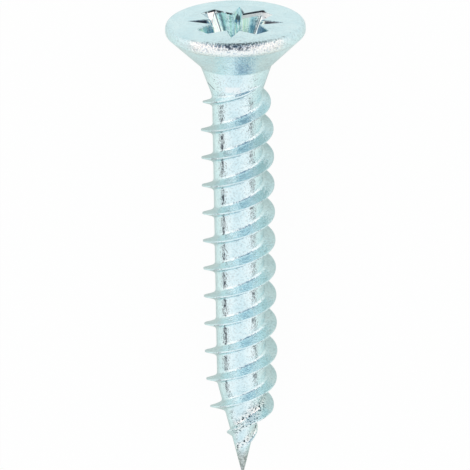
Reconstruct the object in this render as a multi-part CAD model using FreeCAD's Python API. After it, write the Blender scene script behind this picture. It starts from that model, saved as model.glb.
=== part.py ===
# Countersunk wood screw, No. 10 by 1 1/4 inch, with a twin-start thread and a type Z cross recess.
# One piece of steel wire: the head is forged on its end, the recess is punched into the head, and
# the thread is rolled up out of the shank.
# Sizes are in millimetres. The screw is modelled upright on the Z axis, with the flat face of its
# head at height 0 and its point below, and at the end it is laid down as it comes to rest on a
# flat surface: on the rim of its head and on the thread near the point, which faces -Y.
import FreeCAD, Part
import math
import os

# Overall
overall_length = 31.75            # head face to point, 1 1/4 inch

# Head
head_diameter = 9.30
head_land = 0.58                  # head face to the centre of the rounding under the rim
head_face_rounding = 0.40         # radius between the head face and the rim
head_seat_rounding = 0.30         # radius between the rim and the countersunk seat
countersink_angle = 91.0          # included angle of the seat
neck_diameter = 4.75              # where the seat meets the neck
neck_angle = 38.4                 # included angle of the neck, from the seat to the shank

# Shank and point
core_diameter = 3.25              # shank under the thread
point_length = 6.38               # end of the straight shank to the point
point_rounding = 0.10             # radius of the very tip

# Thread
thread_starts = 2
crest_distance = 1.954            # 13 crests to the inch, counting both starts
thread_diameter = 4.82
crest_width = 0.09                # flat on top of the thread
flank_angle = 36.0                # included angle between the two flanks
thread_top = 3.90                 # head face to the place where each start begins
top_run_out = 0.98                # turns over which the thread rises to its full height
thread_angle = 154.5              # where the first start begins, seen from the head

# Crest near the point, as distances from the tip
full_crest_distance = 7.20        # the crest has its full diameter from here up
shoulder_distance = 4.48          # the crest falls away fast below this
shoulder_diameter = 4.20
low_crest_distance = 2.62
low_crest_diameter = 1.78
thread_end = 0.85                 # the thread has sunk into the point here

# Type Z cross recess, size 2
wing_span = 5.68                  # across two opposite wings, at the head face
wing_width = 1.06
wing_floor_span = 2.40            # the same at the floor of the recess
pocket_width = 3.66               # across the pocket where the wings meet, at the head face
pocket_floor_width = 1.60         # the same at the floor of the recess
recess_depth = 3.00
wing_draft = 2.0                  # slope of the long sides of a wing, in degrees
tick_span = 6.36                  # across the points of two opposite ticks
tick_width = 0.76                 # each tick is a V groove between two wings
tick_depth = 0.60
recess_angle = -5.5               # turn of the recess about the screw

# Rest
rest_roll = 8.0                   # turn about its own axis in which two crests touch the floor

# How the thread is drawn
crest_sink = 0.95                 # share of the core radius where the crest starts and ends
root_sink = 0.80                  # share of the core radius where the flanks end, inside the steel
points_per_turn = 12

# Values that follow from the ones above
head_radius = head_diameter / 2
neck_radius = neck_diameter / 2
core_radius = core_diameter / 2
crest_radius = thread_diameter / 2
lead = thread_starts * crest_distance
flank_slope = math.tan(math.radians(flank_angle / 2))
thread_height = overall_length - thread_top - thread_end
thread_turns = thread_height / lead


def point(radius, height):
    """A point of the turned outline."""
    return FreeCAD.Vector(radius, 0, height)


def rounding(centre_radius, centre_height, radius, first_angle, last_angle):
    """A rounding of the turned outline, with angles in degrees from straight out."""
    places = []
    for angle in (first_angle, (first_angle + last_angle) / 2, last_angle):
        turn = math.radians(angle)
        places.append(point(centre_radius + radius * math.cos(turn),
                            centre_height + radius * math.sin(turn)))
    return places


# Corners of the turned outline
seat_slope = math.tan(math.radians(countersink_angle / 2))
seat_normal = countersink_angle / 2 - 90
face_round = rounding(head_radius - head_face_rounding, -head_face_rounding,
                      head_face_rounding, 90, 0)
seat_round = rounding(head_radius - head_seat_rounding, -head_land,
                      head_seat_rounding, 0, seat_normal)
seat_top = seat_round[-1]
neck_top_height = seat_top.z - (seat_top.x - neck_radius) / seat_slope
neck_length = (neck_radius - core_radius) / math.tan(math.radians(neck_angle / 2))
neck_end_height = neck_top_height - neck_length
point_top_height = point_length - overall_length
tip_centre_height = point_rounding - overall_length
tip_reach = point_top_height - tip_centre_height
point_slope = (math.atan2(core_radius, tip_reach)
               - math.asin(point_rounding / math.hypot(core_radius, tip_reach)))
tip_round = rounding(0, tip_centre_height, point_rounding, -math.degrees(point_slope), -90)

# Heights and radii between which the shank and the crest run straight, from the top down
shank_outline = [
    (neck_top_height, neck_radius),
    (neck_end_height, core_radius),
    (point_top_height, core_radius),
    (tip_round[0].z, tip_round[0].x),
]


def radius_at(outline, height):
    """The radius of an outline at a height, straight between its corners."""
    if height >= outline[0][0]:
        return outline[0][1]
    for (top, top_radius), (bottom, bottom_radius) in zip(outline, outline[1:]):
        if height >= bottom:
            share = (top - height) / (top - bottom)
            return top_radius + share * (bottom_radius - top_radius)
    return outline[-1][1]


thread_end_height = thread_end - overall_length
crest_outline = [
    (full_crest_distance - overall_length, crest_radius),
    (shoulder_distance - overall_length, shoulder_diameter / 2),
    (low_crest_distance - overall_length, low_crest_diameter / 2),
    (thread_end_height, crest_sink * radius_at(shank_outline, thread_end_height)),
]


def turned_blank():
    """The head, neck, shank and point, turned about the axis of the screw."""
    corners = [point(neck_radius, neck_top_height),
               point(core_radius, neck_end_height),
               point(core_radius, point_top_height)]
    edges = [
        Part.makeLine(point(0, 0), face_round[0]),
        Part.Arc(*face_round).toShape(),
        Part.makeLine(face_round[-1], seat_round[0]),
        Part.Arc(*seat_round).toShape(),
        Part.makeLine(seat_top, corners[0]),
        Part.makeLine(corners[0], corners[1]),
        Part.makeLine(corners[1], corners[2]),
        Part.makeLine(corners[2], tip_round[0]),
        Part.Arc(*tip_round).toShape(),
        Part.makeLine(tip_round[-1], point(0, 0)),
    ]
    outline = Part.Face(Part.Wire(edges))
    return outline.revolve(FreeCAD.Vector(0, 0, 0), FreeCAD.Vector(0, 0, 1), 360)


def tooth_corners(turn):
    """Radius and height of the four corners of the thread's section, some turns down a start."""
    height = -thread_top - turn * lead
    shank = radius_at(shank_outline, height)
    share = min(turn / top_run_out, 1)
    rise = math.sqrt(share * (2 - share))
    sunk = crest_sink * shank
    crest = sunk + rise * (radius_at(crest_outline, height) - sunk)
    half_crest = crest_width / 2
    half_root = half_crest + flank_slope * (crest - root_sink * shank)
    upper_root = root_sink * radius_at(shank_outline, height + half_root)
    lower_root = root_sink * radius_at(shank_outline, height - half_root)
    return [(upper_root, height + half_root),
            (crest, height + half_crest),
            (crest, height - half_crest),
            (lower_root, height - half_root)]


def tooth_edges(start_angle):
    """The four helical edges of one start: the upper root, both crests and the lower root."""
    steps = math.ceil(thread_turns * points_per_turn)
    turns = [thread_turns * step / steps for step in range(steps + 1)]
    places = [[], [], [], []]
    for turn in turns:
        angle = math.radians(start_angle - 360 * turn)
        for row, (radius, height) in zip(places, tooth_corners(turn)):
            row.append(FreeCAD.Vector(radius * math.cos(angle), radius * math.sin(angle), height))
    edges = []
    for row in places:
        edge = Part.BSplineCurve()
        edge.interpolate(Points=row, Parameters=turns)
        edges.append(edge)
    return edges


def thread_start(start_angle):
    """One start of the thread: a helical ridge with its lower part inside the shank."""
    edges = tooth_edges(start_angle)
    # The faces span about one turn each, which keeps every face simple to cut
    spans = math.ceil(thread_turns)
    faces = []
    for span in range(spans):
        pieces = []
        for edge in edges:
            piece = edge.copy()
            piece.segment(thread_turns * span / spans, thread_turns * (span + 1) / spans)
            pieces.append(piece)
        for piece, following in zip(pieces, pieces[1:] + pieces[:1]):
            faces.append(piece.makeRuledSurface(following).toShape())
    for ends in ([edge.StartPoint for edge in edges], [edge.EndPoint for edge in edges]):
        faces.append(Part.Face(Part.makePolygon(ends + ends[:1])))
    shell = Part.Shell(faces)
    shell.sewShape()
    ridge = Part.Solid(shell)
    if ridge.Volume < 0:
        ridge.reverse()
    return ridge


def tapered_block(top_size, floor_size, depth):
    """A block that narrows from the head face down, centred on the axis."""
    rims = []
    for (length, width), height in ((top_size, 0), (floor_size, -depth)):
        corners = [FreeCAD.Vector(side * length / 2, end * width / 2, height)
                   for side, end in ((-1, -1), (1, -1), (1, 1), (-1, 1))]
        rims.append(Part.makePolygon(corners + corners[:1]))
    return Part.makeLoft(rims, True, True)


def tick_groove():
    """One V groove from the axis along +X, which rises to a point on the head face."""
    reach = tick_span / 2
    shoulder = pocket_width / 2
    side = tick_width / 2
    # The groove's bottom line runs level, then climbs at the slope of its pointed end
    bend = shoulder - (reach - shoulder) * 0.5
    near_left = FreeCAD.Vector(0, side, 0)
    near_right = FreeCAD.Vector(0, -side, 0)
    far_left = FreeCAD.Vector(shoulder, side, 0)
    far_right = FreeCAD.Vector(shoulder, -side, 0)
    tip = FreeCAD.Vector(reach, 0, 0)
    low_near = FreeCAD.Vector(0, 0, -tick_depth)
    low_far = FreeCAD.Vector(bend, 0, -tick_depth)
    outlines = [
        [near_left, near_right, far_right, tip, far_left],
        [near_left, low_near, near_right],
        [near_left, far_left, low_far, low_near],
        [near_right, low_near, low_far, far_right],
        [far_left, tip, low_far],
        [far_right, low_far, tip],
    ]
    shell = Part.Shell([Part.Face(Part.makePolygon(outline + outline[:1])) for outline in outlines])
    groove = Part.Solid(shell)
    if groove.Volume < 0:
        groove.reverse()
    return groove


def recess_punch():
    """What the punch takes out of the head: two crossed wings, a pocket and four ticks."""
    axis = FreeCAD.Vector(0, 0, 1)
    origin = FreeCAD.Vector(0, 0, 0)
    narrowing = 2 * recess_depth * math.tan(math.radians(wing_draft))
    wing = tapered_block((wing_span, wing_width),
                         (wing_floor_span, wing_width - narrowing), recess_depth)
    pocket = tapered_block((pocket_width, pocket_width),
                           (pocket_floor_width, pocket_floor_width), recess_depth)
    tools = [pocket]
    for quarter in range(4):
        groove = tick_groove()
        groove.rotate(origin, axis, 90 * quarter)
        tools.append(groove)
    for diagonal in (45, 135):
        bar = wing.copy()
        bar.rotate(origin, axis, diagonal)
        tools.append(bar)
    punch = tools[0].fuse(tools[1:])
    punch.rotate(origin, axis, recess_angle)
    return punch


def rest_tilt():
    """Slope of the lying screw in degrees, when its rim and its lowest crest touch the floor."""
    centre_height = -head_land
    centre_radius = head_radius - head_seat_rounding
    slopes = []
    # Half a lead apart, a crest of one start or the other passes the underside, which is at +Y
    first_turn = ((thread_angle + rest_roll - 90) / 360) % (1 / thread_starts)
    crossings = int((thread_turns - first_turn) * thread_starts) + 1
    for crossing in range(crossings):
        corner = tooth_corners(first_turn + crossing / thread_starts)[1]
        run = centre_height - corner[1]
        fall = centre_radius - corner[0]
        slopes.append(math.atan2(fall, run)
                      + math.asin(head_seat_rounding / math.hypot(fall, run)))
    return math.degrees(min(slopes))


def lay_down(screw):
    """Turns the screw onto its side and sets it on the floor, centred over the origin."""
    screw.rotate(FreeCAD.Vector(0, 0, 0), FreeCAD.Vector(0, 0, 1), rest_roll)
    screw.rotate(FreeCAD.Vector(0, 0, 0), FreeCAD.Vector(1, 0, 0), rest_tilt() - 90)
    reach = screw.optimalBoundingBox(False, False)
    screw.translate(FreeCAD.Vector(0, -(reach.YMin + reach.YMax) / 2, -reach.ZMin))
    return screw


def wood_screw():
    """The finished screw as one solid."""
    body = turned_blank()
    for start in range(thread_starts):
        body = body.fuse(thread_start(thread_angle + 360 * start / thread_starts))
    body = body.cut(recess_punch())
    return lay_down(body.Solids[0])


screw = wood_screw()
os.makedirs("parts", exist_ok=True)
screw.exportStep("parts/wood_screw.step")
print("rest tilt", round(rest_tilt(), 2), "degrees, volume", round(screw.Volume, 1), "mm3")
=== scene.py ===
# %% [markdown]
# # A countersunk wood screw in bright zinc
#
# This lesson dresses one imported model: a wood screw, 31.75 mm long, with two thread starts and a
# cross recess. The imported solid has the right sizes but plain facets. A finer mesh of the same form
# takes its place, gets a zinc finish made of nodes, and is lit as in a small studio. Lengths are
# millimetres of the upright screw: its head face is at height 0, its point hangs below, and the side
# that the camera sees faces -Y. One matrix lays it on the floor, and only the floor is in metres.

# %% Load the imported model
import bpy
import bmesh
import math
import numpy as np
from mathutils import Matrix, Vector


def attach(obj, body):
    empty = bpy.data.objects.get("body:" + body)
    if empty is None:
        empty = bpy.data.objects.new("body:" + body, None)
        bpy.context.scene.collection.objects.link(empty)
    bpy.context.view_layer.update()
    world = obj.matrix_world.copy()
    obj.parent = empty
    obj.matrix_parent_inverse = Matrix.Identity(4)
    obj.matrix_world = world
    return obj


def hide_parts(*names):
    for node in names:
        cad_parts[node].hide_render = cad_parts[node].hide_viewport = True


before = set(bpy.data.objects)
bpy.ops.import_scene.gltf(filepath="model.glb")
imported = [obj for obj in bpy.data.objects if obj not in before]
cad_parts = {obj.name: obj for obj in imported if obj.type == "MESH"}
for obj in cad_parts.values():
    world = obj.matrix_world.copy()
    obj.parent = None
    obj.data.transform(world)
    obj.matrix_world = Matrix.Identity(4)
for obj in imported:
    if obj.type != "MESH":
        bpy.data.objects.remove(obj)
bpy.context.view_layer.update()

# %% [markdown]
# ## The sizes
#
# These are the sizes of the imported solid, written once. A maker of screws states the same ones: the
# head, the countersunk seat under it, the neck, the core that the thread stands on, and the thread
# itself. Keeping them equal to the solid's means that nothing has to be fitted by eye.

# %% Sizes of the head, the shank and the point
length = 31.75
head_radius = 4.65
head_land = 0.58
face_rounding = 0.40
seat_rounding = 0.30
seat_half_angle = 91.0 / 2
neck_radius = 2.375
neck_half_angle = 38.4 / 2
core_radius = 1.625
point_length = 6.38
tip_rounding = 0.10
print("head to core", round(head_radius / core_radius, 2))

# %% Heights where one form of the shank meets the next
seat_slope = math.tan(math.radians(seat_half_angle))
neck_slope = math.tan(math.radians(neck_half_angle))
seat_angle = math.radians(seat_half_angle - 90)
seat_end = (head_radius - seat_rounding + seat_rounding * math.cos(seat_angle),
            -head_land + seat_rounding * math.sin(seat_angle))
neck_height = seat_end[1] - (seat_end[0] - neck_radius) / seat_slope
core_height = neck_height - (neck_radius - core_radius) / neck_slope
point_height = point_length - length
tip_centre = tip_rounding - length
tip_reach = point_height - tip_centre
tip_slope = (math.atan2(core_radius, tip_reach)
             - math.asin(tip_rounding / math.hypot(core_radius, tip_reach)))
tip_start = (tip_rounding * math.cos(tip_slope), tip_centre - tip_rounding * math.sin(tip_slope))
print("neck at", round(neck_height, 3), "core at", round(core_height, 3),
      "tip round at", round(tip_start[1], 3))

# %% Sizes of the thread
starts = 2
crest_distance = 1.954
lead = starts * crest_distance
crest_radius = 2.41
half_crest = 0.045
flank_half_angle = 18.0
flank_slope = math.tan(math.radians(flank_half_angle))
thread_top = -3.90
thread_end = 0.85 - length
run_out = 0.98  # turns in which the crest rises out of the neck
first_angle = 154.5 / 360  # turns from the +X side to where the first start begins
crest_corners = [(7.20 - length, crest_radius), (4.48 - length, 2.10), (2.62 - length, 0.89)]
sunk_share = 0.95  # where a start has no thread, its crest lies at this share of the shank's radius
print("lead", lead, "crest over core", round(crest_radius - core_radius, 3))

# %% [markdown]
# ## Laying the screw down
#
# A screw can't stand, so it lies on the rim of its head and on the thread near its point. The packed
# solid lies like that already. The matrix below repeats the move: a small roll about the screw's own
# axis, a quarter turn less the slope at which it lies, and a shift that sets it on the floor.

# %% The matrix from the upright screw to the lying one
rest_roll = math.radians(8.0)
rest_tilt = math.radians(5.42475)
metre = 0.001  # metres to the millimetre
axis_up, axis_along = math.sin(rest_tilt), math.cos(rest_tilt)
floor_shift = head_land * axis_up + (head_radius - seat_rounding) * axis_along + seat_rounding
high_end = (head_radius - face_rounding) * axis_up - face_rounding * axis_along + face_rounding
low_end = tip_centre * axis_along - tip_rounding
lay = (Matrix.Scale(metre, 4)
       @ Matrix.Translation((0, -(high_end + low_end) / 2, floor_shift))
       @ Matrix.Rotation(rest_tilt - math.pi / 2, 4, "X")
       @ Matrix.Rotation(rest_roll, 4, "Z"))
print("head face centre in mm", [round(1000 * c, 3) for c in lay @ Vector((0, 0, 0))])

# %% [markdown]
# ## The shank and its thread
#
# Rolling raises the thread out of the shank between two dies. A mesh of a thread could be a swept
# tooth joined to a cylinder, but the join leaves a ragged seam. Here the whole surface is one grid:
# its columns run down the screw and its rows follow the helix, so rows lie exactly on the crest, on
# the flanks, in the small fillet at the root and on the core. Where the grid meets the plain neck
# and the plain tip, its rows end one by one against a level ring.

# %% Radii down the screw
shank_corners = [(neck_height, neck_radius), (core_height, core_radius),
                 (point_height, core_radius), (tip_start[1], tip_start[0])]
corner_softening = 0.35
softening_steps = 9


def along(corners, heights):
    """The radius of an outline at some heights, straight between its corners."""
    tops, radii = zip(*corners)
    return np.interp(-heights, -np.array(tops), np.array(radii))


def shank_at(heights):
    """The shank's radius, with sharp corners."""
    return along(shank_corners, heights)


def core_at(heights):
    """The shank's radius, with its corners softened over a short length."""
    steps = np.linspace(-corner_softening, corner_softening, softening_steps)
    inside = np.minimum(tip_start[1] - heights, 0)
    reach = np.minimum(1, -inside / corner_softening)
    return sum(shank_at(heights + step * reach) for step in steps) / len(steps)


def one_radius(radius_at, height):
    """A radius function's value at a single height."""
    return float(radius_at(np.array([height]))[0])


crest_corners.append((thread_end, sunk_share * one_radius(shank_at, thread_end)))
print("core radius at mid length", one_radius(core_at, -length / 2))

# %% Height of the thread over the core
last_turn = (thread_top - thread_end) / lead


def crest_at(turns):
    """The crest's radius some turns down one start: out of the neck and, at the end, into the point."""
    heights = thread_top - turns * lead
    share = np.clip(turns / run_out, 0, 1)
    rise = np.sqrt(share * (2 - share))
    sunk = sunk_share * shank_at(heights)
    crest = sunk + rise * (along(crest_corners, heights) - sunk)
    return np.where((turns < 0) | (turns > last_turn), sunk, crest)


def thread_rise(turns):
    """How far the crest stands over the core, and the reach of a flank along the screw."""
    heights = thread_top - turns * lead
    rise = np.maximum(crest_at(turns) - core_at(heights), 0)
    return rise, half_crest + flank_slope * rise


print("full height of the thread", thread_rise(np.array([3.0])))

# %% The fillet at the root and the rounded crest
fillet = 0.24
fillet_to_rise = 1.15  # a low thread has a smaller fillet
fillet_turn = math.radians(90 - flank_half_angle)
fillet_reach = fillet * math.tan(fillet_turn / 2)
fillet_start = 0.2245  # shares of its radius before the root: tan 36 degrees times cos 72 degrees
level_crest = 0.6 * half_crest
crest_fall = 0.25
least_fillet = 1e-6


def root_sizes(turns):
    """The thread's rise, its fillet's radius, and where flank and core meet that fillet."""
    rise, root = thread_rise(turns)
    radius = np.minimum(fillet, fillet_to_rise * rise)
    return rise, radius, root - fillet_start * radius, root + fillet_reach * radius / fillet


def surface_radius(heights, offsets, turns):
    """Radius of the thread's surface at an offset from a crest."""
    rise, radius, flank_end, core_start = root_sizes(turns)
    radius = np.maximum(radius, least_fillet)
    crest = crest_at(turns)
    core = core_at(heights)
    flank = crest - (offsets - half_crest) / flank_slope
    to_core = np.minimum(core_start - offsets, radius)
    bend = core + radius - np.sqrt(np.maximum(radius ** 2 - to_core ** 2, 0))
    top = crest - crest_fall * np.maximum(offsets - level_crest, 0)
    tooth = np.where(offsets <= half_crest, top,
                     np.where(offsets < flank_end, flank,
                              np.where(offsets < core_start, bend, core)))
    return np.where(rise > 0, np.maximum(tooth, core), core)


print("fillet reaches", round(fillet_reach, 3), "past the root")

# %% Places of the rows across one crest
columns = 216
flank_shares = (0.08, 0.5, 1.0)
fillet_angles = (52, 35, 18, 0)
core_shares = (0.28, 0.62)
least_gap = 0.02  # between rows where the thread hasn't risen yet


def row_offsets(turns, spacing_half):
    """Offsets of the rows on one side of a crest, from its middle out to the core between crests."""
    rise, radius, flank_end, core_start = root_sizes(turns)
    rows = [np.zeros_like(turns), np.full_like(turns, level_crest), np.full_like(turns, half_crest)]
    fixed_rows = len(rows)
    for share in flank_shares:
        rows.append(half_crest + share * (flank_end - half_crest))
    for angle in fillet_angles:
        rows.append(core_start - radius * math.sin(math.radians(angle)))
    for share in core_shares:
        rows.append(core_start + share * (spacing_half - core_start))
    for number in range(fixed_rows, len(rows)):
        rows[number] = np.maximum(rows[number], rows[number - 1] + least_gap)
    return rows


print("columns", columns, "rows on a flank", len(flank_shares), "in a fillet", len(fillet_angles))

# %% The grid: crests across, columns down, each point a number of turns down its start
first_crest, last_crest = -2, 17
turns = (np.arange(first_crest, last_crest + 1)[None, :] / starts + first_angle
         - np.arange(columns)[:, None] / columns)
half_rows = row_offsets(turns, crest_distance / 2)
offsets = np.stack([np.full_like(turns, -crest_distance / 2)]
                   + [-offset for offset in half_rows[:0:-1]] + half_rows, axis=2)
turns_there = np.broadcast_to(turns[:, :, None], offsets.shape)
grid_heights = thread_top - turns_there * lead - offsets
grid_radii = surface_radius(grid_heights, np.abs(offsets), turns_there)
rows_per_crest = offsets.shape[2]
grid_heights = grid_heights.reshape(columns, -1)
grid_radii = grid_radii.reshape(columns, -1)
print("rows across one crest", rows_per_crest)

# %% Level rings at both ends of the grid
points = []
screw_faces = []
top_ring_height = neck_height - 0.40
bottom_ring_height = thread_end - 0.10
ring_gap = 0.012


def on_column(column, radius, height):
    """A point at a radius and a height, in one column's direction."""
    angle = 2 * math.pi * column / columns
    return radius * math.cos(angle), radius * math.sin(angle), height


def ring_of(height, radius):
    """A level ring of vertices, one for each column; returns the first one's number."""
    first = len(points)
    points.extend(on_column(column, radius, height) for column in range(columns))
    return first


top_ring = ring_of(top_ring_height, one_radius(core_at, top_ring_height))
bottom_ring = ring_of(bottom_ring_height, one_radius(core_at, bottom_ring_height))
print("rings at", round(top_ring_height, 3), round(bottom_ring_height, 3))

# %% Vertices and faces of the grid
number_of = {}
spans = []
for column, (heights, radii) in enumerate(zip(grid_heights.tolist(), grid_radii.tolist())):
    inside = [row for row, height in enumerate(heights)
              if bottom_ring_height + ring_gap < height < top_ring_height - ring_gap]
    spans.append((inside[0], inside[-1]))
    for row in inside:
        number_of[column, row] = len(points)
        points.append(on_column(column, radii[row], heights[row]))
rows_per_turn = starts * rows_per_crest
spans.append(tuple(end + rows_per_turn for end in spans[0]))


def vertex(column, row):
    """Number of a grid vertex. One turn on, the rows have moved down by one lead."""
    if column == columns:
        return number_of[0, row - rows_per_turn]
    return number_of[column, row]


for column in range(columns):
    after = (column + 1) % columns
    (first, last), (next_first, next_last) = spans[column], spans[column + 1]
    screw_faces.append([top_ring + column]
                       + [vertex(column, row) for row in range(first, next_first + 1)]
                       + [vertex(column + 1, next_first), top_ring + after])
    for row in range(next_first, last):
        screw_faces.append([vertex(column, row), vertex(column, row + 1),
                            vertex(column + 1, row + 1), vertex(column + 1, row)])
    screw_faces.append([vertex(column, last), bottom_ring + column, bottom_ring + after]
                       + [vertex(column + 1, row) for row in range(next_last, last - 1, -1)])
print("grid vertices", len(points), "faces", len(screw_faces))

# %% The plain tip under the last turn
tip_levels = 5
tip_outline = [(height, one_radius(core_at, height))
               for height in np.linspace(bottom_ring_height, tip_start[1], tip_levels)[1:]]
for angle in np.linspace(-tip_slope, -math.pi / 2, tip_levels)[1:-1]:
    tip_outline.append((tip_centre + tip_rounding * math.sin(angle), tip_rounding * math.cos(angle)))


def join_rings(upper, lower):
    """A band of four-sided faces between two rings."""
    return [[upper + c, lower + c, lower + (c + 1) % columns, upper + (c + 1) % columns]
            for c in range(columns)]


def close_ring(ring, height):
    """Triangles from a ring to a point on the axis."""
    middle = len(points)
    points.append((0, 0, height))
    return [[ring + c, middle, ring + (c + 1) % columns] for c in range(columns)]


above = bottom_ring
for height, radius in tip_outline:
    below = ring_of(height, radius)
    screw_faces += join_rings(above, below)
    above = below
screw_faces += close_ring(above, -length)
print("with the tip", len(points), "vertices")

# %% [markdown]
# ## The head
#
# The head is forged on the end of the wire: a flat face with a rounded rim, a narrow land and the
# countersunk seat. It is round all over, so it is turned about the axis, ring by ring, and goes on
# from the thread's top ring. A bevelled cylinder and cone would do as well, but rings let the
# rounded places have just as many steps as they need.

# %% The turned head
neck_levels = 4
seat_shares = (0.04, 0.25, 0.5, 0.75, 0.96, 1.0)
seat_round_levels = 6
face_round_levels = 9
face_step = 0.06
head_outline = []
for height in np.linspace(top_ring_height, neck_height, neck_levels)[1:]:
    head_outline.append((height, one_radius(shank_at, height)))
for share in seat_shares:
    head_outline.append((neck_height + share * (seat_end[1] - neck_height),
                         neck_radius + share * (seat_end[0] - neck_radius)))
for angle in np.linspace(seat_angle, 0, seat_round_levels)[1:]:
    head_outline.append((-head_land + seat_rounding * math.sin(angle),
                         head_radius - seat_rounding + seat_rounding * math.cos(angle)))
for angle in np.linspace(0, math.pi / 2, face_round_levels):
    head_outline.append((-face_rounding + face_rounding * math.sin(angle),
                         head_radius - face_rounding + face_rounding * math.cos(angle)))
head_outline.append((0, head_radius - face_rounding - face_step))
below = top_ring
for height, radius in head_outline:
    above = ring_of(height, radius)
    screw_faces += join_rings(above, below)
    below = above
print("head rings", len(head_outline))

# %% [markdown]
# ## The recess
#
# The recess is what a punch leaves: four wings, and between them four V-shaped ticks that run on down
# the walls as shallow flutes. It could be cut out with a boolean, but its rim would need a bevel
# afterwards, which tears at so many small corners. Seen from above, each level of the recess has just
# one radius in every direction. So we work that radius out and build the walls from rings too, and
# the rounded rim is simply a few more rings.

# %% Sizes of the recess, each as pairs of depth and size
eighth_turn = math.pi / 4
recess_turn = math.radians(-5.5)
recess_depth = 3.0
rim_rounding = 0.08
wing_reach = [(0, 2.84), (recess_depth, 1.20)]
wing_half_end = [(0, 0.53), (recess_depth, 0.43)]
wing_half_middle = [(0, 1.30), (recess_depth, 0.85)]
tick_half_width = [(0, 0.38), (0.45, 0.20), (recess_depth, 0.16)]
tick_shoulder = [(0, 1.83), (0.45, 1.60), (recess_depth, 0.80)]
tick_point = [(0, 3.18), (0.60, 1.72), (recess_depth, 0.84)]
shoulder_widens, point_widens = 0.5, 1.5  # shares of the rim's rounding
sectors = 8
columns_across = (5, 12, 5, 5)  # in one sector
least_turn, almost_none = 0.01, 1e-9  # keep two angles apart, and a divisor from zero


def at_depth(depth, size):
    """A size of the recess at one depth."""
    depths, values = zip(*size)
    return float(np.interp(depth, depths, values))


print("wing across the face", 2 * at_depth(0, wing_reach), "and on the floor",
      2 * at_depth(recess_depth, wing_reach))


# %% The outline of the recess at one depth
def recess_sector(depth):
    """Angles from the middle of a wing to the middle of a tick, and the radius at each."""
    widened = rim_rounding - math.sqrt(rim_rounding ** 2 - max(rim_rounding - depth, 0) ** 2)
    reach, half_end, half_middle = [at_depth(depth, size) + widened
                                    for size in (wing_reach, wing_half_end, wing_half_middle)]
    half_tick = at_depth(depth, tick_half_width) + widened
    shoulder = at_depth(depth, tick_shoulder) + shoulder_widens * widened
    tip = at_depth(depth, tick_point) + point_widens * widened
    taper = (half_middle - half_end) / reach
    level = half_middle / math.sqrt(2)
    wing_corner = math.atan2(half_end, reach)
    meeting = math.atan2(level - half_tick * taper, half_tick + level)
    tick_corner = max(eighth_turn - math.atan2(half_tick, shoulder), meeting + least_turn)
    corners = [0, wing_corner, meeting, tick_corner, eighth_turn]
    angles = []
    for first, last, count in zip(corners, corners[1:], columns_across):
        angles += [first + (last - first) * step / count for step in range(count)]
    angles = np.array(angles + [eighth_turn])
    wing = np.minimum(reach / np.cos(angles), half_middle / (np.sin(angles) + taper * np.cos(angles)))
    aside = eighth_turn - angles
    straight = half_tick / np.maximum(np.sin(aside), almost_none)
    slanted = tip * half_tick / (half_tick * np.cos(aside) + (tip - shoulder) * np.sin(aside))
    return angles, np.maximum(wing, np.minimum(straight, slanted))


print("rim radii", recess_sector(0)[1].round(2)[[0, 5, 17, 22, 27]])

# %% A ring of the recess
first_wing_column = round((recess_turn + eighth_turn) / (2 * math.pi) * columns)


def recess_ring(depth):
    """A ring of the recess: eight sectors, every second one mirrored. Returns its first number."""
    angles, radii = recess_sector(depth)
    width = sum(columns_across)
    places = [None] * columns
    for sector in range(sectors):
        for step in range(width):
            inside = step if sector % 2 == 0 else width - step
            turned = angles[inside] if sector % 2 == 0 else eighth_turn - angles[inside]
            turned += recess_turn + (sector + 1) * eighth_turn
            places[(first_wing_column + width * sector + step) % columns] = (
                radii[inside] * math.cos(turned), radii[inside] * math.sin(turned), -depth)
    first = len(points)
    points.extend(places)
    return first


print("the first wing is on column", first_wing_column)

# %% The walls and the floor of the recess
rim_levels = 6
wall_depths = [0.14, 0.22, 0.32, 0.45, 0.60, 0.8, 1.1, 1.5, 2.0, 2.5, recess_depth]
rim_depths = [rim_rounding * (1 - math.cos(angle)) for angle in np.linspace(0, math.pi / 2, rim_levels)]
for ring_depth in rim_depths + wall_depths:
    above = below
    below = recess_ring(ring_depth)
    screw_faces += join_rings(above, below)
screw_faces += close_ring(below, -recess_depth)
print("recess rings", len(rim_depths + wall_depths))

# %% [markdown]
# ## One mesh
#
# The screw is one piece of steel, so all the rings and the grid become one closed mesh. The point of
# this screw leans a little to the left, as a thin point easily does when the thread is rolled. The
# lean grows with the square of the distance from where it starts, so the shank stays straight. Smooth
# shading rounds the facets, and only real corners are kept sharp.

# %% The mesh of the whole screw
lean_start = -26.0
lean = 0.0011  # millimetres for each square millimetre
merge_distance = 1e-5
sharp_from = math.radians(30)
made = bmesh.new()
grid = [made.verts.new(place) for place in points]
for face in screw_faces:
    made.faces.new([grid[number] for number in face])
bmesh.ops.remove_doubles(made, verts=made.verts, dist=merge_distance)
bmesh.ops.recalc_face_normals(made, faces=made.faces)
open_edges = [edge for edge in made.edges if not edge.is_manifold]
print("open edges", len(open_edges), "volume", round(made.calc_volume(signed=True), 2))
for corner in made.verts:
    corner.co.x -= lean * max(lean_start - corner.co.z, 0) ** 2
made.transform(lay)
screw_mesh = bpy.data.meshes.new("screw")
made.to_mesh(screw_mesh)
made.free()
screw_mesh.shade_smooth()
screw_mesh.set_sharp_from_angle(angle=sharp_from)
screw = bpy.data.objects.new("screw", screw_mesh)
bpy.context.scene.collection.objects.link(screw)
print("triangles", sum(len(face.vertices) - 2 for face in screw_mesh.polygons))
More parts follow.
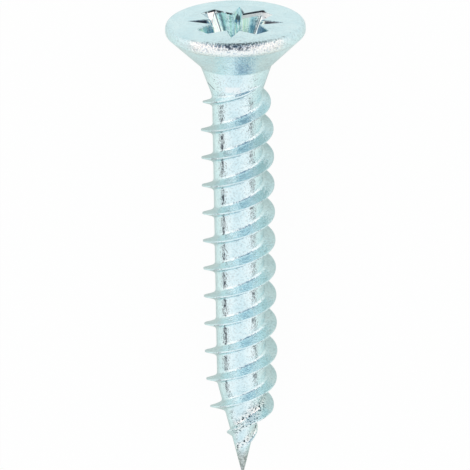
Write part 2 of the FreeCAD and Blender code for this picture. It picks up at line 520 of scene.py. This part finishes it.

# %% [markdown]
# ## The zinc finish
#
# Bright zinc is a bluish metal mirror. On a real screw it is uneven: the tint changes in patches,
# pits break up the reflections, the punch leaves streaks in the recess, and handling wears and marks
# it. A painted image could hold all that, but it would be coarse on a part so small. Nodes stay sharp
# at any distance. There is one metallic surface, three noises for its unevenness, and masks that say
# where on the upright screw a point lies. Each mark below is a mask and a colour, laid over the last.
# Several of them are painted light: painted highlights, painted shade and painted dark reflections.
# The limits of a mask stand above it: two numbers are where it starts and where it is full, three
# are its low end, its high end and the softness of both.

# %% Small helpers that add nodes to the tree at hand
def sum_node(operation, *values):
    """One Math node; each value is a number or another node's output."""
    node = tree.nodes.new("ShaderNodeMath")
    node.operation = operation
    for socket, value in zip(node.inputs, values):
        if isinstance(value, (int, float)):
            socket.default_value = value
        else:
            tree.links.new(value, socket)
    return node.outputs[0]


def times(first, *others):
    """The product of several masks: 1 only where all of them are."""
    for other in others:
        first = sum_node("MULTIPLY", first, other)
    return first


def weighted(value, factor, added):
    """A value times a factor, plus something."""
    return sum_node("MULTIPLY_ADD", value, factor, added)


# %% Helpers for soft masks and for colours
def soft_step(value, low, high):
    """Goes from 0 to 1 as the value goes from the first limit to the second."""
    node = tree.nodes.new("ShaderNodeMapRange")
    node.interpolation_type = "SMOOTHSTEP"
    node.inputs["From Min"].default_value = low
    node.inputs["From Max"].default_value = high
    tree.links.new(value, node.inputs["Value"])
    return node.outputs["Result"]


def inside_band(value, low, high, soft):
    """1 between low and high, with soft edges."""
    return times(soft_step(value, low - soft, low + soft), soft_step(value, high + soft, high - soft))


def mixed(share, first, second, blend="MIX"):
    """A colour that goes from the first to the second as the share goes from 0 to 1."""
    node = tree.nodes.new("ShaderNodeMix")
    node.data_type = "RGBA"
    node.blend_type = blend
    tree.links.new(share, node.inputs["Factor"])
    for socket, value in ((node.inputs[6], first), (node.inputs[7], second)):
        if isinstance(value, tuple):
            socket.default_value = (*value, 1)
        else:
            tree.links.new(value, socket)
    return node.outputs[2]


# %% Bright zinc: measuring along the upright screw
zinc = bpy.data.materials.new("bright_zinc")
zinc.use_nodes = True
screw_mesh.materials.append(zinc)
tree = zinc.node_tree
shader = tree.nodes["Principled BSDF"]
shader.inputs["Metallic"].default_value = 1.0
place = tree.nodes.new("ShaderNodeTexCoord").outputs["Object"]
stood_up = lay.inverted()


def measured(*direction):
    """Millimetres along a direction of the upright screw, from the middle of its head face."""
    row = stood_up.transposed() @ Vector((*direction, 0))
    node = tree.nodes.new("ShaderNodeVectorMath")
    node.operation = "DOT_PRODUCT"
    node.inputs[1].default_value = row[:3]
    tree.links.new(place, node.inputs[0])
    return sum_node("ADD", node.outputs["Value"], row[3])


def out_along(angle):
    """How far out a point lies along a level direction, to either side of the axis."""
    return sum_node("ABSOLUTE", measured(math.cos(angle), math.sin(angle), 0))


depth = measured(0, 0, -1)
side = measured(1, 0, 0)
behind = measured(0, 1, 0)
on_wing = out_along(recess_turn + eighth_turn)
across_wing = out_along(recess_turn - eighth_turn)
from_axis = sum_node("SQRT", sum_node("ADD", times(on_wing, on_wing), times(across_wing, across_wing)))
front_half = (0.1, -0.1)
in_front = soft_step(behind, *front_half)
print("nodes that measure", len(tree.nodes))


# %% Bright zinc: noises and ramps
def noise(scale, detail, roughness):
    """A noise of the object's own space, with its scale given in waves to the millimetre."""
    node = tree.nodes.new("ShaderNodeTexNoise")
    node.inputs["Scale"].default_value = 1000 * scale
    node.inputs["Detail"].default_value = detail
    node.inputs["Roughness"].default_value = roughness
    tree.links.new(place, node.inputs["Vector"])
    return node.outputs["Fac"]


def ramp(source, *stops):
    """A ramp of greys or colours over a noise; each stop is a position and a grey or colour."""
    node = tree.nodes.new("ShaderNodeValToRGB")
    elements = node.color_ramp.elements
    for number, (position, colour) in enumerate(stops):
        stop = elements[number] if number < 2 else elements.new(position)
        stop.position = position
        stop.color = (*colour, 1) if isinstance(colour, tuple) else (colour, colour, colour, 1)
    tree.links.new(source, node.inputs["Fac"])
    return node.outputs["Color"]


patches = noise(scale=0.9, detail=6, roughness=0.6)
grain = noise(scale=3.5, detail=3, roughness=0.6)
fine_grain = noise(scale=7.0, detail=2, roughness=0.5)
print("noises", sum(node.type == "TEX_NOISE" for node in tree.nodes))

# %% [markdown]
# ### The plating itself
#
# The tint of the plate wanders between two pale blues, in patches about a millimetre wide. Pits
# darken it in fine dots, fewer of them on the flat face, which the forging pressed smooth. Two
# separate materials could be mixed for this, but two ramps over two noises, multiplied with each
# other, are simpler and keep it one metal.

# %% Bright zinc: tint and pits
bluer_plate, paler_plate = (0.73, 0.90, 0.945), (0.85, 0.975, 1.0)
pit_grey = 0.84
pits_missing_on_face = -0.65
face_down = (0.03, 0.0)
on_face = soft_step(depth, *face_down)
tint = ramp(patches, (0.32, bluer_plate), (0.68, paler_plate))
pits = ramp(fine_grain, (0.30, pit_grey), (0.52, 1.0))
plated = mixed(weighted(on_face, pits_missing_on_face, 1.0), tint, pits, "MULTIPLY")
print("nodes with the plating", len(tree.nodes))

# %% [markdown]
# ### The rim of the head
#
# Screws are tumbled together when they are plated, so the edge of the head is covered in tiny bright
# dents. At the middle of the front, near the top, a dark reflection is painted over them. Dents in the
# mesh would take far too many faces. The same fine noise that makes the pits drives two ramps instead,
# a bright one for the dents and a dark one for the painted reflection, and a mask lays the dark one at
# the front.

# %% Bright zinc: the dented rim and its painted dark reflection
rim_down, rim_out, dented_across = (0.05, 0.95, 0.06), (3.9, 4.2), (-3.0, 3.1, 0.3)
# painted dark reflection: the dents at the middle of the front, near the top of the rim, are darkened
dark_reflection_across, dark_reflection_down = (-1.1, 1.1, 0.7), (0.55, 0.25)
on_rim = times(inside_band(depth, *rim_down), soft_step(from_axis, *rim_out))
bright_dents = ramp(fine_grain, (0.32, (0.66, 0.74, 0.80)), (0.46, (0.97, 0.99, 0.98)))
dark_reflection_dents = ramp(fine_grain, (0.42, (0.10, 0.13, 0.17)), (0.56, (0.92, 0.95, 0.96)))
dark_reflection_place = times(inside_band(side, *dark_reflection_across), soft_step(depth, *dark_reflection_down))
dents_and_dark_reflection = mixed(dark_reflection_place, bright_dents, dark_reflection_dents)
plated = mixed(times(on_rim, inside_band(side, *dented_across)), plated, dents_and_dark_reflection)
print("nodes with the rim", len(tree.nodes))

# %% [markdown]
# ### The walls of the recess
#
# A punch drags over the walls and leaves upright streaks. Their blue, green and white are partly
# punch marks and partly painted reflections of the facets. Streaks that run straight down depend on
# the direction alone, so a noise with one dimension, over the angle about the axis, is all they need.
# The ends of the wings get a painted highlight, with painted shade in the far left corner and a thin
# painted shadow line where wall and wing end meet.

# %% Bright zinc: in the recess and on the ends of its wings
recess_narrows, wing_narrows = 0.45, 0.547  # millimetres for each of depth
under_face, recess_edge, wing_end_edge = (0.03, 0.10), (3.35, 3.25), (2.70, 2.80)
within_edge = soft_step(weighted(depth, recess_narrows, from_axis), *recess_edge)
in_recess = times(soft_step(depth, *under_face), within_edge)
wing_place = weighted(depth, wing_narrows, sum_node("MAXIMUM", on_wing, across_wing))
on_wing_end = times(in_recess, soft_step(wing_place, *wing_end_edge))
print("nodes with the recess's place", len(tree.nodes))

# %% Bright zinc: the punched walls, partly painted reflections
stripes_per_radian = 5.5
stripe_detail = 3
stripes = tree.nodes.new("ShaderNodeTexNoise")
stripes.noise_dimensions = "1D"
stripes.inputs["Scale"].default_value = stripes_per_radian
stripes.inputs["Detail"].default_value = stripe_detail
tree.links.new(sum_node("ARCTAN2", behind, side), stripes.inputs["W"])
# the streak colours are partly punch marks and partly painted reflections of the wall facets
walls_with_painted_light = ramp(stripes.outputs["Fac"],
               (0.36, (0.52, 0.74, 0.80)), (0.44, (0.72, 0.90, 0.92)), (0.50, (0.99, 1.0, 1.0)),
               (0.54, (0.70, 0.90, 0.86)), (0.60, (0.90, 0.98, 0.84)), (0.68, (0.60, 0.82, 0.86)))
print("nodes with the streaks", len(tree.nodes))

# %% Bright zinc: painted highlight and shade on the wing ends, painted shadow lines in their corners
# painted highlight on the wing ends, painted shade in the far left corner, painted shadow corner lines
painted_highlight_end, shaded_end = (0.97, 0.99, 0.99), (0.36, 0.52, 0.58)
corner_shadow_colour = (0.22, 0.30, 0.34)
corner_slope, wing_tapers = -0.3, 0.033  # millimetres for each of depth
left_corner, line_out, line_aside = (-1.82, -1.92), (2.79, 2.81), (0.475, 0.50)
in_left_corner = soft_step(weighted(depth, corner_slope, side), *left_corner)
walls_with_painted_light = mixed(on_wing_end, walls_with_painted_light, mixed(in_left_corner, painted_highlight_end, shaded_end))
wing_aside = weighted(depth, wing_tapers, sum_node("MINIMUM", on_wing, across_wing))
corner_shadow_line = times(soft_step(wing_place, *line_out), soft_step(wing_aside, *line_aside))
walls_with_painted_light = mixed(corner_shadow_line, walls_with_painted_light, corner_shadow_colour)
plated = mixed(in_recess, plated, walls_with_painted_light)
print("nodes with the walls", len(tree.nodes))

# %% [markdown]
# ### Edges of the recess
#
# On the right the wall just under the far edge has a painted white highlight and is matt there, and
# along the far edges runs a thin painted dark reflection, broken up on the left.
# Both could be strips of geometry, but as bands of depth, cut to the far side of the recess, they
# follow the edge by themselves.

# %% Bright zinc: painted highlight under the far edge, painted dark reflections along the far edges
# painted white highlight under the far right edge, and painted dark reflection along the far edges
highlight_white, dark_reflection_black = (0.96, 0.99, 0.99), (0.03, 0.035, 0.05)
far_side, around_recess = (0.9, 1.1), (3.4, 3.2)
right_half, left_half, right_end = (0.35, 0.50), (-0.12, -0.20), (2.05, 1.9)
white_band_down, line_down, line_breaks = (0.12, 0.33, 0.04), (0.015, 0.12, 0.02), (0.46, 0.52)
at_back = times(soft_step(behind, *far_side), soft_step(from_axis, *around_recess))
right_wing = times(at_back, soft_step(side, *right_half))
painted_highlight_band = times(right_wing, inside_band(depth, *white_band_down))
plated = mixed(painted_highlight_band, plated, highlight_white)
left_edges = times(at_back, soft_step(side, *left_half), soft_step(grain, *line_breaks))
right_edges = times(right_wing, soft_step(side, *right_end))
edge_dark_reflection = times(sum_node("MAXIMUM", left_edges, right_edges), inside_band(depth, *line_down))
plated = mixed(edge_dark_reflection, plated, dark_reflection_black)
print("nodes with the edges", len(tree.nodes))

# %% [markdown]
# ### Painted shade on the first crests
#
# The first crests under the neck get a painted shade and look a little darker than the others, most of
# all on their right flanks. A second material for them would end at a line. A weak grey over
# everything that stands off the core is enough, and it fades down the screw.

# %% Bright zinc: painted shade on the first crests
# painted shade over the first crests, strongest on their right flanks
crest_shade = (0.44, 0.58, 0.61)
crest_shade_share, crest_shade_share_on_flank = 0.24, 0.28
crests_out, crests_from, crests_fade = (1.72, 1.90), (5.0, 5.8), (14.5, 9.5)
right_flanks = (1.15, 1.75, 0.25)
first_crests = times(soft_step(from_axis, *crests_out), soft_step(depth, *crests_from),
                     soft_step(depth, *crests_fade))
crest_shade_amount = weighted(inside_band(side, *right_flanks), crest_shade_share_on_flank, crest_shade_share)
plated = mixed(times(first_crests, crest_shade_amount), plated, crest_shade)
print("nodes with the first crests", len(tree.nodes))

# %% [markdown]
# ### Torn plate where the thread runs out
#
# Where the last crests sink into the point, the steel is torn a little and the plate has flaked:
# black pits and white chips lie side by side. Burrs in the mesh would be truer, but they are smaller
# than a tenth of a millimetre. The two bands follow the slope of those crests, so they are bands of
# depth plus a share of the place across, and a ramp with three stops makes black, blue and white.

# %% Bright zinc: the torn bands
band_slope = 0.9
upper_band, lower_band, torn_across = (27.3, 28.5, 0.25), (29.25, 29.80, 0.12), (-0.5, 1.5, 0.25)
black_pit, blue_metal, white_chip = (0.04, 0.05, 0.06), (0.70, 0.84, 0.88), (0.98, 0.99, 0.98)
band_place = weighted(side, band_slope, depth)
torn_bands = sum_node("MAXIMUM", inside_band(band_place, *upper_band), inside_band(band_place, *lower_band))
torn = ramp(fine_grain, (0.38, black_pit), (0.45, blue_metal), (0.55, white_chip))
plated = mixed(times(torn_bands, inside_band(side, *torn_across)), plated, torn)
print("nodes with the torn bands", len(tree.nodes))

# %% [markdown]
# ### Painted dark reflections along the core
#
# Two rows of dark reflections are painted along the core: a dense one on the left, and a fainter one
# on the right that shows only in the middle between two crests. Real reflections of black cards would
# do the same, but those would wander off the core in other views. Their place is the share of the
# radius that lies to the side, the same all the way down, and the grain breaks them into short dabs.

# %% Bright zinc: the painted dark reflections on the core
# painted dark reflections in two rows along the core, broken into dabs
core_reflection_colour = (0.13, 0.16, 0.19)
right_reflection_share = 0.72
core_out, core_down = (1.78, 1.66), (6.2, 25.5, 0.3)
left_row, left_dabs = (-0.67, -0.58, 0.025), (0.49, 0.54)
right_row, right_dabs, between_crests = (0.46, 0.62, 0.03), (0.52, 0.58), (0.30, 0.60, 0.06)
share_aside = sum_node("DIVIDE", side, from_axis)
crest_share = sum_node("FRACT", sum_node("DIVIDE", depth, crest_distance))
on_core = times(soft_step(from_axis, *core_out), inside_band(depth, *core_down), in_front)
left_dark_reflections = times(inside_band(share_aside, *left_row), soft_step(grain, *left_dabs))
right_dark_reflections = times(inside_band(share_aside, *right_row), soft_step(grain, *right_dabs),
                    inside_band(crest_share, *between_crests), right_reflection_share)
plated = mixed(times(on_core, sum_node("MAXIMUM", left_dark_reflections, right_dark_reflections)), plated, core_reflection_colour)
print("nodes with the rolling marks", len(tree.nodes))

# %% [markdown]
# ### Painted light and a scratch on the neck and the seat
#
# The neck has a painted highlight over the first crest and one short scratch on its left. The seat has
# a mottled bluish painted dark reflection. A groove in the mesh would do for the scratch, but the rings
# there are too far apart for it. A spot is a band across and a band down, and the scratch is the same
# two bands, turned so that one runs along it.

# %% Bright zinc: the painted highlight and the scratch on the neck
# painted highlight on the neck over the first crest; the scratch is a real mark
neck_highlight, scratched = (0.96, 0.985, 0.99), (0.08, 0.10, 0.12)
neck_highlight_across, neck_highlight_down = (-0.75, 0.25, 0.15), (3.90, 4.36, 0.10)
neck_highlight_spot = times(inside_band(side, *neck_highlight_across), inside_band(depth, *neck_highlight_down), in_front)
plated = mixed(neck_highlight_spot, plated, neck_highlight)
scratch_side, scratch_depth = -1.90, 3.98
scratch_across, scratch_down = 0.802, 0.597  # how it runs, as parts of its length
scratch_reach, scratch_width = (0.0, 0.54, 0.05), (-0.03, 0.03, 0.02)
along_start = -scratch_side * scratch_across - scratch_depth * scratch_down
aside_start = scratch_side * scratch_down - scratch_depth * scratch_across
along_scratch = weighted(depth, scratch_down, weighted(side, scratch_across, along_start))
off_scratch = weighted(depth, scratch_across, weighted(side, -scratch_down, aside_start))
scratch = times(inside_band(along_scratch, *scratch_reach), inside_band(off_scratch, *scratch_width),
                in_front)
plated = mixed(scratch, plated, scratched)
print("nodes with the neck's marks", len(tree.nodes))

# %% Bright zinc: the painted dark reflection on the seat
# painted dark reflection, mottled and bluish, on the front of the seat
seat_reflection_colour = (0.48, 0.64, 0.76)
seat_reflection_varies, seat_reflection_least = 0.7, 0.3
seat_reflection_across, seat_reflection_down, on_seat = (0.05, 1.10, 0.42), (1.35, 2.85, 0.15), (2.1, 2.3)
in_patches, in_grain = (0.36, 0.56), (0.42, 0.58)
seat_reflection_place = times(inside_band(side, *seat_reflection_across), inside_band(depth, *seat_reflection_down), in_front,
                    soft_step(from_axis, *on_seat))
mottled = times(soft_step(patches, *in_patches),
                weighted(soft_step(grain, *in_grain), seat_reflection_varies, seat_reflection_least))
plated = mixed(times(seat_reflection_place, mottled), plated, seat_reflection_colour)
print("nodes with the stain", len(tree.nodes))

# %% [markdown]
# ### Painted shade in the side ticks, and the dull point
#
# The two ticks at the sides get a painted shade and look nearly black. The last two millimetres of the
# point have little plate left and are a dull, mottled grey. Faces of their own could carry both, but
# masks need no cut in the mesh: a tick is a narrow band along its own line, the point is a depth.

# %% Bright zinc: the painted shade in the side ticks, and the point
# painted shade: the two side ticks are darkened nearly to black
tick_shade = (0.06, 0.07, 0.09)
dull_dark, dull_light = (0.32, 0.36, 0.35), (0.64, 0.69, 0.67)
along_tick = out_along(recess_turn)
aside_tick = out_along(recess_turn + 2 * eighth_turn)
tick_down, tick_out, tick_width = (0.04, 0.70, 0.03), (1.9, 3.3, 0.1), (0.40, 0.34)
point_down = (29.8, 30.8)
in_side_tick = times(inside_band(depth, *tick_down), inside_band(along_tick, *tick_out),
                     soft_step(aside_tick, *tick_width))
plated = mixed(in_side_tick, plated, tick_shade)
on_point = soft_step(depth, *point_down)
dull = ramp(fine_grain, (0.38, dull_dark), (0.62, dull_light))
tree.links.new(mixed(on_point, plated, dull), shader.inputs["Base Color"])
print("nodes with all the colour", len(tree.nodes))

# %% [markdown]
# ### Gloss and the smallest relief
#
# The plate is almost a mirror, a little less so in spots and on the rim, and matt on the painted white
# highlight under the far edge and on the point. Relief of a few hundredths of a millimetre makes the
# orange peel. Such small relief belongs in a bump, not in the mesh: the grain and, stronger on the rim,
# the fine grain. The punched walls of the recess are flatter.

# %% Bright zinc: roughness
polished, less_polished = 0.045, 0.11
rougher_on_rim, rougher_on_point, rougher_on_white_band = 0.04, 0.35, 0.45
polish = ramp(grain, (0.35, polished), (0.75, less_polished))
coarse = weighted(on_rim, rougher_on_rim, times(on_point, rougher_on_point))
coarse = weighted(painted_highlight_band, rougher_on_white_band, coarse)
tree.links.new(sum_node("ADD", polish, coarse), shader.inputs["Roughness"])
print("roughness between", polished, "and", less_polished)

# %% Bright zinc: bump
bump_height = 0.04 * metre
fine_share, fine_share_on_rim = 0.42, 0.95
flatter_in_recess = -0.85
bump = tree.nodes.new("ShaderNodeBump")
bump.inputs["Strength"].default_value = 1.0
bump.inputs["Distance"].default_value = bump_height
dents = times(fine_grain, weighted(on_rim, fine_share_on_rim, fine_share))
uneven = times(sum_node("ADD", grain, dents), weighted(in_recess, flatter_in_recess, 1.0))
tree.links.new(uneven, bump.inputs["Height"])
tree.links.new(bump.outputs["Normal"], shader.inputs["Normal"])
print("zinc nodes", len(tree.nodes))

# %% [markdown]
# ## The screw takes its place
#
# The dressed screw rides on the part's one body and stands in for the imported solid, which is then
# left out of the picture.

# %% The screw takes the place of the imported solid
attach(screw, "root")
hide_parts("wood_screw")
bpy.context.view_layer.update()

# %% [markdown]
# ## The studio
#
# A metal shows its surroundings, so the studio is the larger half of the finish. A photographer puts
# a screw in a white tent with a few grey and black cards. Lamps would leave a hot spot on every
# crest instead. So all light here is an even white, and only mirror rays see the cards: the floor
# carries a painted shadow, greyer under the screw than beside it, and has a dark card past the head,
# and the sky has a blue-grey zone past the head with a bright window in it, bright walls at both
# sides, and two narrow black cards that darken the sides of the shank.

# %% The floor
floor_half = 0.4
paper_colour = (0.82, 0.86, 0.84, 1)
paper_roughness = 0.9
corners = [(-floor_half, -floor_half, 0), (floor_half, -floor_half, 0),
           (floor_half, floor_half, 0), (-floor_half, floor_half, 0)]
floor_mesh = bpy.data.meshes.new("floor")
floor_mesh.from_pydata(corners, [], [(0, 1, 2, 3)])
floor = bpy.data.objects.new("floor", floor_mesh)
bpy.context.scene.collection.objects.link(floor)
paper = bpy.data.materials.new("floor_paper")
paper.use_nodes = True
floor_mesh.materials.append(paper)
tree = paper.node_tree
diffuse = tree.nodes["Principled BSDF"]
diffuse.inputs["Base Color"].default_value = paper_colour
diffuse.inputs["Roughness"].default_value = paper_roughness
diffuse.inputs["Specular IOR Level"].default_value = 0.0
print("floor side in m", 2 * floor_half)

# %% Tones of the floor that mirror rays see, with places in metres
white = (1.0, 1.0, 1.0)
# painted shadow for mirror rays: the floor is darkest under the screw and lighter beside it
shadow_under_screw, shadow_beside_screw, further_out = (0.52, 0.62, 0.58), (0.68, 0.80, 0.77), (0.86, 1.0, 0.95)
right_of_head, past_head_tone, dark_card = (0.82, 0.95, 0.92), (0.79, 0.88, 0.88), (0.08, 0.10, 0.12)
head_line, screw_half, tray_half = (0.0135, 0.0160), (0.0040, 0.0062), (0.0072, 0.0100)
by_head_along, by_head_aside = (0.0062, 0.0098), (0.0026, 0.0042)
card_focus, least_run = 0.0156, 0.001
card_along, card_slants = (0.0210, 0.0230), (-0.26, 0.33, 0.05)
split = tree.nodes.new("ShaderNodeSeparateXYZ")
tree.links.new(tree.nodes.new("ShaderNodeTexCoord").outputs["Object"], split.inputs["Vector"])
floor_x, floor_y = split.outputs[0], split.outputs[1]
past_head = soft_step(floor_y, *head_line)
aside = sum_node("ABSOLUTE", floor_x)
seen = mixed(soft_step(aside, *tray_half), shadow_beside_screw, further_out)
seen = mixed(soft_step(aside, *screw_half), shadow_under_screw, seen)
near_head = times(soft_step(floor_y, *by_head_along), soft_step(floor_x, *by_head_aside))
seen = mixed(near_head, seen, right_of_head)
seen = mixed(past_head, seen, past_head_tone)
run = sum_node("MAXIMUM", sum_node("SUBTRACT", floor_y, card_focus), least_run)
slant = sum_node("DIVIDE", floor_x, run)
on_dark_card = times(soft_step(floor_y, *card_along), inside_band(slant, *card_slants))
seen = mixed(on_dark_card, seen, dark_card)
print("floor nodes so far", len(tree.nodes))

# %% The floor's glow for the camera and for mirror rays
camera_share = 0.96  # the rest is the paper itself, with the screw's shadow
mirror_share, mirror_share_past_head = 0.5, 0.45
rays = tree.nodes.new("ShaderNodeLightPath")
glow = tree.nodes.new("ShaderNodeEmission")
tree.links.new(mixed(rays.outputs["Is Glossy Ray"], white, seen), glow.inputs["Color"])
mirrored = weighted(past_head, mirror_share_past_head, mirror_share)
share = sum_node("ADD", times(rays.outputs["Is Camera Ray"], camera_share),
                 times(rays.outputs["Is Glossy Ray"], mirrored))
blend = tree.nodes.new("ShaderNodeMixShader")
tree.links.new(share, blend.inputs[0])
tree.links.new(diffuse.outputs[0], blend.inputs[1])
tree.links.new(glow.outputs[0], blend.inputs[2])
tree.links.new(blend.outputs[0], tree.nodes["Material Output"].inputs["Surface"])
print("floor nodes", len(tree.nodes))

# %% The sky, with its directions turned to those of the upright screw
world = bpy.data.worlds.new("studio")
bpy.context.scene.world = world
world.use_nodes = True
tree = world.node_tree
turned = tree.nodes.new("ShaderNodeMapping")
turned.inputs["Rotation"].default_value = (math.pi / 2 - rest_tilt, 0, -rest_roll)
tree.links.new(tree.nodes.new("ShaderNodeTexCoord").outputs["Generated"], turned.inputs["Vector"])
split = tree.nodes.new("ShaderNodeSeparateXYZ")
tree.links.new(turned.outputs["Vector"], split.inputs["Vector"])
sideways, back, up = split.outputs
degrees = 180 / math.pi
across = times(sum_node("ARCTAN2", sideways, times(back, -1.0)), degrees)
rise = times(sum_node("ARCSINE", up), degrees)
print("sky nodes that measure", len(tree.nodes))

# %% Tones of the sky that mirror rays see
low_tone, past_head_blue = (0.86, 0.92, 0.945), (0.19, 0.30, 0.41)
window_tone, wall_tone, black_card = (1.25, 1.20, 1.17), (1.22, 1.12, 1.09), (0.01, 0.012, 0.02)
low_rise, low_across = (2, -14), (-0.55, 0.35, 0.12)
blue_up, blue_across = (0.18, 0.34), (-0.44, 0.44, 0.06)
window_up, window_across = (0.30, 0.56, 0.03), (-0.12, 0.12, 0.03)
wall_up, wall_aside = (0.02, 0.12), (0.46, 0.56)
cards = [((-87, -73, 1), (-40, -7, 3)), ((66, 77, 1), (-42, -6, 4))]  # degrees across and degrees up
sky = mixed(times(soft_step(rise, *low_rise), inside_band(sideways, *low_across)), white, low_tone)
beyond_head = times(inside_band(sideways, *blue_across), soft_step(up, *blue_up))
sky = mixed(beyond_head, sky, past_head_blue)
window = times(inside_band(sideways, *window_across), inside_band(up, *window_up))
sky = mixed(window, sky, window_tone)
walls = times(soft_step(sum_node("ABSOLUTE", sideways), *wall_aside), soft_step(up, *wall_up))
sky = mixed(walls, sky, wall_tone)
for card_across, card_rise in cards:
    card = times(inside_band(across, *card_across), inside_band(rise, *card_rise))
    sky = mixed(card, sky, black_card)
rays = tree.nodes.new("ShaderNodeLightPath")
sky = mixed(rays.outputs["Is Glossy Ray"], white, sky)
tree.links.new(sky, tree.nodes["Background"].inputs["Color"])
tree.nodes["Background"].inputs["Strength"].default_value = 1.0
print("sky nodes", len(tree.nodes))

# %% [markdown]
# ## The camera
#
# The photo looks at the screw from 20 degrees above a level through its length, with hardly any
# perspective. A long lens from far away does the same. The camera is placed in the upright screw's
# own space and then laid down with it.

# %% The camera
view_rise = math.radians(20.0)
view_roll = math.radians(1.0)
picture_pixels = 470
pixels_per_millimetre = 15.066
picture_width = picture_pixels / pixels_per_millimetre
distance = 1200.0
sensor_width = 36
aim = Vector((-0.271, 0, -14.998))
level = Vector((1, 0, 0))
steep = Vector((0, math.sin(view_rise), math.cos(view_rise)))
right = math.cos(view_roll) * level - math.sin(view_roll) * steep
upward = math.sin(view_roll) * level + math.cos(view_roll) * steep
backward = right.cross(upward)
eye = Matrix((right, upward, backward)).transposed().to_4x4()
eye.translation = aim + distance * backward
stand = lay @ eye
camera_data = bpy.data.cameras.new("camera")
camera_data.sensor_width = sensor_width
camera_data.lens = sensor_width * distance / picture_width
camera = bpy.data.objects.new("camera", camera_data)
camera.matrix_world = Matrix.LocRotScale(stand.to_translation(), stand.to_quaternion(), None)
bpy.context.scene.collection.objects.link(camera)
bpy.context.scene.camera = camera
print("lens in mm", round(camera_data.lens, 1))

# %% [markdown]
# ## The picture
#
# The picture shows colours as they are written, with no film look, so the view transform is the plain
# one.

# %% The picture settings
bpy.context.scene.view_settings.view_transform = "Standard"
